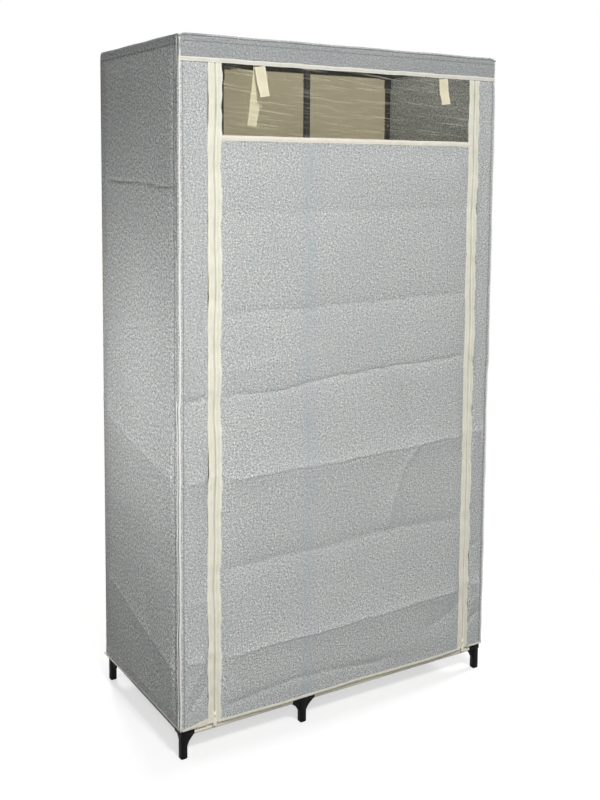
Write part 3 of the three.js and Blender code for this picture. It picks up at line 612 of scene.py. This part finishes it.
backCover = clothSheet("back_cover_cloth", steps(-cover["side"], cover["side"], backPanel["pitch"]),
                       steps(cover["low"], cover["top"] - cover["inset"], backPanel["rise"]), backSurface,
                       "back", cover["wall"])
settle(backCover, node="cover_back")

# Roof, sagging between the tubes that it lies on, and the header below its front edge
roof = {"sag": 6.5, "pitch": 0.008, "drop": cover["top"] - cover["bend"] - cover["headerLow"], "depth": 0.448,
        "turn": cover["bend"] * pi / 2, "pull": 0.005, "pullReach": 0.014,
        "creases": [crease(0.9, 0.012, (-0.42, 1.576), (-0.1, 1.579), (0.42, 1.574))]}


def archOf(share):
    return np.clip(np.sin(pi * np.clip(share, 0, 1)), 0, 1) ** 0.7


def roofSurface(x, t):
    # t runs up the header from its hem, round the bend and back over the roof
    bend, edge = cover["bend"], cover["side"]
    angle = np.clip(t - roof["drop"], 0, roof["turn"]) / bend
    back = np.clip(t - roof["drop"] - roof["turn"], 0, None)
    z = cover["headerLow"] + np.clip(t, 0, roof["drop"]) + bend * np.sin(angle)
    y = cover["front"] + bend * (1 - np.cos(angle)) + back
    leftHalf = (x - posts["left"]) / (posts["mid"] - posts["left"])
    rightHalf = (x - posts["mid"]) / (posts["right"] - posts["mid"])
    dish = archOf(np.where(x < posts["mid"], leftHalf, rightHalf)) * archOf((y + 0.21) / 0.425)
    rail = np.where(x > posts["mid"], np.exp(-np.abs(y - 0.0022) / 0.02), 0)
    overPost = 0.0004 * np.exp(-((x - posts["mid"]) / 0.03) ** 2)
    sag = roof["sag"] / 1000 * dish * (1 - 0.75 * rail) + overPost
    z = z - sag * ease(back, 0.0, 0.02) + waves(x, y, 61, 0.25) * dish
    onHeader = (1 - ease(back, 0, 0.004)) * ease(t, 0, 0.012)
    out = (foldedBy(x, z, roof["creases"]) + waves(x, z * 2, 71, 0.28)) * onHeader
    groove = 0.0006 * np.exp(-((t - roof["drop"] + 0.0045) / 0.0012) ** 2)
    pulled = roof["pull"] * ease(np.abs(x), edge - roof["pullReach"], edge)
    pulled *= ease(t, roof["drop"] * 0.6, roof["drop"] + 0.005)
    rounded = roundedOff(y - (cover["back"] - cover["inset"] - strip["corner"]))
    pulled += rounded * ease(np.abs(x), edge - strip["cornerReach"], edge)
    return x, y - np.cos(angle) * (out - groove), z - pulled


roofCloth = clothSheet("roof_and_header_cloth", steps(-cover["side"], cover["side"], roof["pitch"]),
                       np.concatenate([steps(0, roof["drop"], 0.003),
                                       roof["drop"] + roof["turn"] * np.linspace(0, 1, 8)[1:],
                                       roof["drop"] + roof["turn"] + steps(0, roof["depth"], roof["pitch"])[1:]]),
                       roofSurface, "roof", cover["wall"])
settle(roofCloth, node="cover_roof")
print("back and roof made")


# Round cords of cloth-covered piping, along a line's x, y and z
def pipe(name, line, radius, look, sides=10):
    line = np.column_stack(line)
    run = np.concatenate([[0], np.cumsum(np.linalg.norm(np.diff(line, axis=0), axis=1))])
    ahead = np.gradient(line, run, axis=0)
    ahead /= np.linalg.norm(ahead, axis=1)[:, None]
    aside = np.cross(ahead, (0.31, -0.72, 0.2) if abs(ahead[0, 2]) > 0.5 else (0, 0.3, 1))
    aside /= np.linalg.norm(aside, axis=1)[:, None]
    up = np.cross(aside, ahead)

    def surface(s, t):
        row = np.searchsorted(run, t - 1e-9).clip(0, len(run) - 1)
        angle = -s / radius
        out = np.cos(angle)[:, None] * aside[row] + np.sin(angle)[:, None] * up[row]
        return (line[row] + radius * out).T

    piece = clothSheet(name, np.linspace(0, 2 * pi * radius, sides + 1), run, surface, look, smooth=60)
    pickOnly(piece)
    turnTo("EDIT")
    bpy.ops.mesh.select_all(action="SELECT")
    bpy.ops.mesh.remove_doubles(threshold=1e-6)
    bpy.ops.mesh.fill_holes(sides=sides + 2)
    bpy.ops.mesh.select_all(action="SELECT")
    bpy.ops.mesh.normals_make_consistent(inside=False)
    turnTo("OBJECT")
    return piece


piping = {"radius": 0.0024, "inset": 0.0020, "top": 1.5975, "ridge": 0.0017, "ridgeBack": 0.0092,
          "header": 0.0026, "edge": 0.0019, "bow": 0.0125}
for side, sign in (("left", -1), ("right", 1)):
    rise = np.linspace(cover["low"], piping["top"], 260)
    kink = 0.0022 * (ease(rise, 0.8, 0.822) - 0.5) * (1 if sign < 0 else 0.3)
    wander = 0.0006 * np.sin(rise * 23 + sign) + 0.0005 * np.sin(rise * 61)
    puff = 0.0012 * (0.25 + 0.75 * ease(rise, 0.79, 0.83)) * (1 - ease(rise, 1.5, 1.58))
    x = sign * (cover["side"] - piping["inset"] + puff) + kink + wander
    y = cover["front"] + piping["inset"] - puff - 0.0004 + 0 * rise
    settle(pipe(f"{side}_corner_piping", [x, y, rise], piping["radius"], "cord"))
    # the seam's turned edge, a second and finer ridge just behind the piping
    line = [x + sign * 0.0016 - kink * 0.3, y + piping["ridgeBack"] - wander, rise]
    settle(pipe(f"{side}_seam_ridge", line, piping["ridge"], "cord"))
x = np.linspace(-cover["side"] + 0.001, cover["side"] - 0.001, 160)
drop = roof["pull"] * ease(np.abs(x), cover["side"] - roof["pullReach"], cover["side"])
line = [x, cover["front"] + 0.0006 + 0 * x, cover["top"] - 0.0014 - drop + 0.0005 * np.sin(x * 31)]
settle(pipe("header_top_piping", line, piping["header"], "roof"))
for side, sign in (("left", -1), ("right", 1)):
    y = np.linspace(cover["front"] + 0.006, cover["back"] - 0.003, 90)
    bow = 1 - np.sqrt(1 - ease(y, cover["back"] - 0.0135, cover["back"] - 0.002) ** 2 * 0.98)
    height = cover["top"] - 0.0026 - piping["bow"] * bow + 0.0004 * np.sin(y * 40)
    settle(pipe(f"{side}_roof_piping", [sign * (cover["side"] - 0.0006) + 0 * y, y, height],
                piping["edge"], "roof"))
    hem = np.linspace(cover["front"] + 0.008, cover["back"] - 0.003, 110)
    flare = strip["flare"] / 1000 * (1 - ease(cover["back"] - hem, 0.02, 0.25))
    line = [sign * (cover["side"] - 0.0005 + flare), hem, cover["low"] + 0.0006 + 0 * hem]
    settle(pipe(f"{side}_hem_piping", line, piping["edge"], "trim"))
print("piping made")


# Trims: flat tapes with a soft, slightly raised middle. U runs across them
def tapeAcross(name, fromX, toX, low, high, front, look, puff=0.0006, wall=0.0009, seed=1):
    def surface(x, z):
        share = (z - low) / (high - low)
        wave = 0.0004 * np.sin(x * 37 + seed) + 0.0003 * np.sin(x * 83 + 2 * seed)
        return x, front - puff * np.sin(pi * share) ** 0.6 - wave * 0.5, z + wave * 0.6

    piece = clothSheet(name, steps(fromX, toX, 0.006), np.linspace(low, high, 7),
                       surface, look, wall, turned=True)
    shiftUv(piece, -low)
    return piece


settle(tapeAcross("header_tape_cloth", -cover["side"], cover["side"], 1.543, 1.553, cover["front"] - 0.0002,
                  "band"), node="header_tape")
settle(tapeAcross("window_binding_cloth", door["left"], door["right"], 1.3781, 1.3899, cover["front"] - 0.0003,
                  "trim", 0.0009, 0.0014, 4), "window_band", "window_binding")


# Window film, slightly wavy
window = {"low": 1.3885, "pitch": 0.006, "rise": 0.005, "bulge": 0.0012, "wall": 0.0003}


def filmSurface(x, z):
    held = within(x, door["left"], door["right"], 0.04)
    bulge = window["bulge"] * held * np.sin(pi * (z - 1.39) / 0.153)
    return x, cover["front"] - bulge + waves(x, z, 81, 0.3) * held, z


film = clothSheet("window_film", steps(door["left"], door["right"], window["pitch"]),
                  steps(window["low"], door["top"], window["rise"]), filmSurface, "film", window["wall"])
settle(film, "window_band", "window_pane")
print("window made")


# The door's cloth: one piece round each hinge, meeting the next in the middle of a band
doorCut = {"pitch": 0.006, "rise": 0.0036, "above": 0.06, "below": 0.28, "top": 1.3862, "firstBand": 0.06}
hinges = door["hinges"]
ends = hinges + [door["low"]]
middles = [(ends[i] + ends[i + 1]) / 2 for i in range(len(hinges))]


def bendOver(piece):
    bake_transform(piece)


def bandSpan(index, lowest, highest):
    return (middles[index] if index < len(hinges) - 1 else lowest), (middles[index - 1] if index else highest)


for index in range(len(hinges)):
    low, high = bandSpan(index, door["low"] + 0.002, doorCut["top"])
    cloth = clothSheet(f"door_cloth_{index + 1}", steps(door["left"], door["right"], doorCut["pitch"]),
                       steps(low, high, doorCut["rise"]),
                       lambda x, z: (x, cover["front"] + 0.0004 - doorRelief(x, z), z),
                       "door", cover["wall"])
    bendOver(cloth)
    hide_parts(f"door_band_{index + 2}")
print("door cloth made")


# Zips: knitted tapes on the cover and on the door, with the coil's teeth between them
zipLook = {"pitch": 0.0026, "reach": 0.0034, "stand": 0.0016, "lift": 0.0007, "set": 0.0005, "first": 0.004,
           "last": 1.5405, "gap": 0.0011}


def zipDrift(z, side):
    # the sewn tape wanders a little from the straight line of the teeth
    wander = 0.0013 * np.sin(z * 14 + side) + 0.0009 * np.sin(z * 33 + 2 * side)
    lean = 0.0022 * (z - 0.75) if side < 0 else 0.0
    return (wander + lean) * ease(z, 0.1, 0.22) * (1 - ease(z, 1.5, 1.54) * 0.5)


def toothTemplate():
    pickOnly()
    bpy.ops.mesh.primitive_cube_add(size=1)
    tooth = bpy.context.object
    bpy.ops.transform.resize(value=(zipLook["reach"], zipLook["stand"], zipLook["pitch"] * 0.62))
    turnTo("EDIT")
    bpy.ops.mesh.bevel(offset=0.0004, segments=1, affect="EDGES")
    turnTo("OBJECT")
    bpy.ops.object.transform_apply(location=True, rotation=True, scale=True)
    points = np.array([v.co for v in tooth.data.vertices])
    faces = [tuple(p.vertices) for p in tooth.data.polygons]
    bpy.data.objects.remove(tooth)
    return points, faces


toothPoints, toothFaces = toothTemplate()


def teethRow(name, side, inward, heights):
    # one mesh of the same tooth, set at each height
    centre = zips["left" if side < 0 else "right"] + zipDrift(heights, side) + inward * zipLook["reach"] * 0.42
    front = cover["front"] - zipLook["set"] - zipRelief(heights, side)
    moved = toothPoints[None] + np.column_stack([centre, front, heights])[:, None]
    faces = [tuple(v + k * len(toothPoints) for v in face) for k in range(len(heights)) for face in toothFaces]
    mesh = bpy.data.meshes.new(name)
    mesh.from_pydata(moved.reshape(-1, 3).tolist(), [], faces)
    uv = mesh.uv_layers.new(name="UVMap")
    corners = np.zeros(len(mesh.loops), int)
    mesh.loops.foreach_get("vertex_index", corners)
    uv.data.foreach_set("uv", moved.reshape(-1, 3)[corners][:, (0, 2)].ravel())
    piece = addPiece(name, mesh)
    wear(piece, "teeth", 35)
    return piece


def tapeDown(name, side, inward, low, high, onDoor):
    # half a zip tape: U from the teeth's edge outwards, V up
    middle = zips["left" if side < 0 else "right"]
    width = zips["half"] - zipLook["gap"]

    def surface(s, z):
        share = s / width
        out = zipLook["lift"] + 0.0013 * np.exp(-((s - 0.0034) / 0.0016) ** 2) + 0.0004 * np.sin(pi * share)
        ripple = 0.0008 * np.sin(z * 2 * pi / 0.043 + side + inward) * (0.3 + 0.7 * share)
        ripple += 0.0012 * np.sin(z * 2 * pi / 0.131 + 2 * side)
        aside = zipLook["gap"] + s + ripple * 0.8 * share
        x = middle + inward * aside + zipDrift(z, side) * (1 - 0.3 * share)
        back = (doorRelief(x, z) if onDoor else 0.0006 + 0 * z) + zipRelief(z, side) * (1 - 0.8 * share * onDoor)
        return x, cover["front"] + 0.0004 - back - out - ripple * 0.45, z

    across = np.linspace(0, width, 9)
    if inward < 0:
        across = across[::-1]
    return clothSheet(name, across, steps(low, high, 0.004), surface, "zip", 0.0006)


coverTeeth = np.arange(zips["low"] + zipLook["first"], zipLook["last"], zipLook["pitch"])
doorTeeth = np.arange(zips["low"] + zipLook["first"] + zipLook["pitch"] / 2, zipLook["last"], zipLook["pitch"])
for side, word in ((-1, "left"), (1, "right")):
    settle(tapeDown(f"{word}_zip_cover_tape", side, side, zips["low"], zips["high"], False),
           node=f"zip_tape_{word}")
    settle(teethRow(f"{word}_zip_cover_teeth", side, side, coverTeeth))
    for index in range(len(hinges)):
        low, high = bandSpan(index, zips["low"], hinges[0] + 0.0001)
        bendOver(tapeDown(f"{word}_zip_door_tape_{index + 1}", side, -side, low, high, True))
        bendOver(teethRow(f"{word}_zip_door_teeth_{index + 1}", side, -side,
                          doorTeeth[(doorTeeth >= low) & (doorTeeth < high)]))
    settle(tapeDown(f"{word}_zip_window_tape", side, -side, hinges[0], zips["high"], True), "window_band")
    settle(teethRow(f"{word}_zip_window_teeth", side, -side, doorTeeth[doorTeeth >= hinges[0]]), "window_band")
print("zips made")


# Hems: binding folded round the lower edges. Its outline is how far in, and what share of its height up
hemOutline = np.array([(0.0016, 1), (0.0017, 0.1), (0.001, -0.1), (-0.0003, -0.12), (-0.0012, 0.05),
                       (-0.0014, 0.5), (-0.0009, 1)])


def foldedHem(name, fromX, toX, low, rise, front, body="frame_and_cover", follow=None):
    # rise is the binding's height at each end
    inwards, upwards = hemOutline.T
    run = np.concatenate([[0], np.cumsum(np.hypot(np.diff(inwards), np.diff(upwards) * max(rise)))])

    def surface(x, t):
        share = (x - fromX) / (toX - fromX)
        wave = 0.0007 * np.sin(x * 17 + 1) + 0.0004 * np.sin(x * 43)
        out = follow(x, low + 0.004 + 0 * x) if follow else 0
        tall = rise[0] + (rise[1] - rise[0]) * share
        return x, front - out + np.interp(t, run, inwards), low + tall * np.interp(t, run, upwards) + wave

    settle(clothSheet(name, steps(fromX, toX, 0.006, 3), run, surface, "trim", 0.0005, turned=True, smooth=70),
           body)


foldedHem("door_hem", door["left"] + 0.001, door["right"] - 0.001, 0.068, (0.0065, 0.0065),
          cover["front"] + 0.0002, "band_10", doorRelief)
foldedHem("left_strip_hem", -0.4330, -0.3715, 0.070, (0.004, 0.0145), cover["front"] - 0.0004)
foldedHem("right_strip_hem", 0.3875, 0.4330, 0.070, (0.005, 0.005), cover["front"] - 0.0004)
foldedHem("back_hem", -0.434, 0.434, 0.0705, (0.007, 0.007), cover["back"] - 0.0004)
print("hems made")

# Ties: cotton tape that has kept a curl
tieCut = {"width": 0.026, "front": -0.22765, "rear": -0.22145, "under": 0.0018}
# each one's place, length, lean in degrees, curl, twist and bow
ties = {
    "front_left": (-0.2441, 0.066, 8.5, 0.005, 0.08, 0.0006),
    "front_right": (0.2690, 0.062, 5.5, 0.0045, -0.08, -0.0005),
    "rear_left": (-0.2431, 0.130, -7, -0.003, 0.12, 0.0015),
    "rear_right": (0.2735, 0.062, 8, -0.003, 0.1, 0.0),
}


def makeTie(word, place, size, lean, curl, twist, bow):
    lean, half = radians(lean), tieCut["width"] / 2

    def surface(s, t):
        down = (size - t) / size
        across, turn = s * (1 + 0.05 * np.sin(down * 5)), twist * down
        x = place + across * np.cos(turn) * cos(lean) + (size - t) * sin(lean)
        x += bow * np.sin(pi * down)
        y = tieCut[word.split("_")[0]] + across * np.sin(turn) - curl * down ** 2 * 1.2 - 0.0006 * np.sin(down * 9)
        z = door["top"] - tieCut["under"] - (size - t) * cos(lean) + across * sin(lean)
        return x, y, np.minimum(z, door["top"] - 0.0002)

    piece = clothSheet(f"{word}_tie", np.linspace(-half, half, 9), np.linspace(0, size, 25), surface,
                       "tie", 0.0009)
    shiftUv(piece, half)
    settle(piece, f"tie_{word}", f"strap_{word}")


for word, settings in ties.items():
    makeTie(word, *settings)
print("ties made")

# Shelves and floor: cloth with a sleeve round each long tube
shelfCut = {"sleeve": 0.0092, "reach": 0.2135, "centre": 0.00225, "left": -0.4014, "right": 0.4014,
            "pitch": 0.009, "wall": 0.0008, "floor": 0.06}
floorCut = {"side": 0.4137, "deep": 0.1775, "pitch": 0.011, "lift": 0.0072}


def sleevePath(sag):
    # from under the front tube, round its front, over to the rear tube and under it
    radius, reach = shelfCut["sleeve"], shelfCut["reach"]
    front = [(-reach + radius * sin(a), radius * cos(a)) for a in np.radians(np.linspace(-215, 0, 22))]
    flat = [(y, radius - sag * cos(pi * y / (2 * reach)) ** 2)
            for y in np.linspace(-reach, reach, 44)[1:-1]]
    rear = [(reach + radius * sin(a), radius * cos(a)) for a in np.radians(np.linspace(0, 215, 22))]
    path = np.array(front + flat + rear)
    return path, np.concatenate([[0], np.cumsum(np.linalg.norm(np.diff(path, axis=0), axis=1))])


def sleevedCloth(name, fromX, toX, height, sag, node, seed):
    path, run = sleevePath(sag)

    def surface(x, t):
        y, z = np.interp(t, run, path[:, 0]), np.interp(t, run, path[:, 1])
        clear = within(x, fromX, toX, 0.03) * (1 - ease(np.abs(y), 0.15, 0.2))
        return x, y + shelfCut["centre"], height + z + waves(x, y, seed, 0.5) * clear

    piece = clothSheet(name, steps(fromX, toX, shelfCut["pitch"]), run, surface, "shelf", shelfCut["wall"],
                       smooth=60)
    settle(piece, node=node)


for word, height in shelves.items():
    sleevedCloth(f"{word}_shelf_cloth", shelfCut["left"], -0.1373, height, 0.005, f"shelf_{word}", 91)
sleevedCloth("floor_cloth_left", shelfCut["left"], -0.1433, shelfCut["floor"], 0.0012, "floor_panel", 95)
sleevedCloth("floor_cloth_right", -0.0827, shelfCut["right"], shelfCut["floor"], 0.0012, None, 97)


def floorSurface(x, y):
    side = floorCut["side"]
    clear = within(x, -side, side, side - 0.39) * (1 - ease(np.abs(y), 0.14, 0.175))
    return x, y + shelfCut["centre"], shelfCut["floor"] + floorCut["lift"] + waves(x, y, 99, 0.3) * clear


floorCentre = clothSheet("floor_cloth_middle", steps(-floorCut["side"], floorCut["side"], floorCut["pitch"]),
                         steps(-floorCut["deep"], floorCut["deep"], floorCut["pitch"]),
                         floorSurface, "shelf", shelfCut["wall"])
settle(floorCentre)
print("shelves and floor made")


# Frame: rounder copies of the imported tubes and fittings, with softened edges
footWeb = {"low": 0.012, "under": 0.0515, "deeper": 1.35, "stem": 0.0085, "wider": 2.1, "reach": 0.02}


def widenWeb(node, mesh):
    # the webs under the sockets spread further and run further down the stem
    row, column = node.split("_")[1:]
    centre, stem = (posts[column], posts[row]), footWeb["stem"]
    for point in mesh.vertices:
        if not footWeb["low"] < point.co.z < footWeb["under"] + 0.002:
            continue
        for axis in (0, 1):
            off, aside = point.co[axis] - centre[axis], abs(point.co[1 - axis] - centre[1 - axis])
            if stem + 0.0002 < abs(off) < footWeb["reach"] and aside < stem - 0.0002:
                point.co[axis] = centre[axis] + copysign(stem + (abs(off) - stem) * footWeb["wider"], off)
        if point.co.z < footWeb["under"]:
            point.co.z = footWeb["under"] - (footWeb["under"] - point.co.z) * footWeb["deeper"]


def dressFrame(node, look, body="frame_and_cover", bevel=0.0):
    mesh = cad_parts[node].data.copy()
    mesh.materials.clear()
    for face in mesh.polygons:
        face.material_index = 0
    piece = addPiece(f"{node}_finished", mesh)
    if node.startswith("foot_"):
        widenWeb(node, mesh)
    pickOnly(piece)
    turnTo("EDIT")
    bpy.ops.mesh.select_all(action="SELECT")
    bpy.ops.mesh.remove_doubles(threshold=2e-5)
    bpy.ops.mesh.dissolve_limited(angle_limit=radians(1))
    turnTo("OBJECT")
    if bevel:
        applyModifier(piece, "BEVEL", width=bevel, segments=2, limit_method="ANGLE",
                      angle_limit=radians(38), use_clamp_overlap=True)
    wear(piece, look, 42)
    settle(piece, body, node)


for node in sorted(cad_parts):
    if node.startswith("foot_"):
        dressFrame(node, "moulded", bevel=0.0007)
    elif node.startswith("post_"):
        dressFrame(node, "post")
    elif "_tube_" in node or node == "hanging_rail":
        dressFrame(node, "tube")
for side in ("left", "right"):
    dressFrame(f"zip_slider_{side}", "enamel", f"slider_{side}", 0.0003)
    dressFrame(f"zip_pull_{side}", "enamel", f"pull_{side}", 0.0003)
print("frame dressed")

# Floor of the studio, its light and the camera
studio = {"ambient": 0.06, "floorWhite": (240, 240, 240), "floorBounce": (138, 138, 136), "floorSize": 24}


def seenStraight(tree):
    # 1 for what the camera sees, also in a reflection or through clear film
    rays = put(tree, "LightPath")
    seen = larger(tree, rays.outputs["Is Camera Ray"], rays.outputs["Is Glossy Ray"])
    return larger(tree, seen, rays.outputs["Is Transmission Ray"])


pickOnly()
bpy.ops.mesh.primitive_plane_add(size=studio["floorSize"])
floor = bpy.context.object
floor.name = "studio_floor"
made, tree, shader, place = newMaterial("pale studio floor", 0.9, Specular_IOR_Level=0.1)
far = put(tree, "VectorMath", {0: place}, operation="LENGTH").outputs["Value"]
seen = seenStraight(tree)
floorTone = blendColour(tree, seen, tone(*studio["floorBounce"]), tone(*studio["floorWhite"]))
tree.links.new(floorTone, shader.inputs["Base Color"])
white = put(tree, "Emission", {"Color": (1, 1, 1, 1), "Strength": 1.0})
mixOut(tree, times(tree, seen, spread(tree, far, 0.5, 1.2, 0.62, 1.0)), shader, white)
floor.data.materials.append(made)

scene.world = bpy.data.worlds.new("studio")
scene.world.use_nodes = True
tree = scene.world.node_tree
base = tree.nodes["Background"]
base.inputs["Color"].default_value = (1, 1, 1, 1)
base.inputs["Strength"].default_value = studio["ambient"]
white = put(tree, "Background", {"Color": (1, 1, 1, 1), "Strength": 1.0})
mixOut(tree, seenStraight(tree), base, white, "World Output")

# each one's place, aim, power and size
lamps = {
    "high_key": ((-0.6, -3.9, 4.7), (0, -0.22, 0.8), 282, 0.8),
    "front_left": ((-0.96, -1.5, 1.0), (-0.2, -0.22, 0.92), 11.5, 0.6),
    "left_side": ((-0.92, -0.02, 0.83), (-0.44, 0.0, 0.83), 2.4, 0.4),
    "right_side": ((4.2, 0.1, 2.2), (0.44, 0.0, 0.8), 172, 0.8),
    "behind": ((0.4, 3.4, 2.4), (0, 0.23, 0.8), 138, 0.8),
}


def addLamp(name, place, aim, power, size):
    pickOnly()
    bpy.ops.object.light_add(type="AREA", location=place)
    made = bpy.context.object
    made.name = name
    made.data.energy, made.data.size = power, size
    made.rotation_euler = (Vector(aim) - Vector(place)).to_track_quat("-Z", "Y").to_euler()
    made.visible_camera = False


for name, settings in lamps.items():
    addLamp(name, *settings)

eye = addPiece("camera", bpy.data.cameras.new("camera"))
eye.location = (-1.36675, -2.23602, 1.30953)
eye.rotation_euler = (1.47595, -0.00749, -0.54854)
eye.data.lens, eye.data.sensor_width, eye.data.shift_y = 46.727, 36.0, -0.16
scene.camera = eye
print("studio ready")
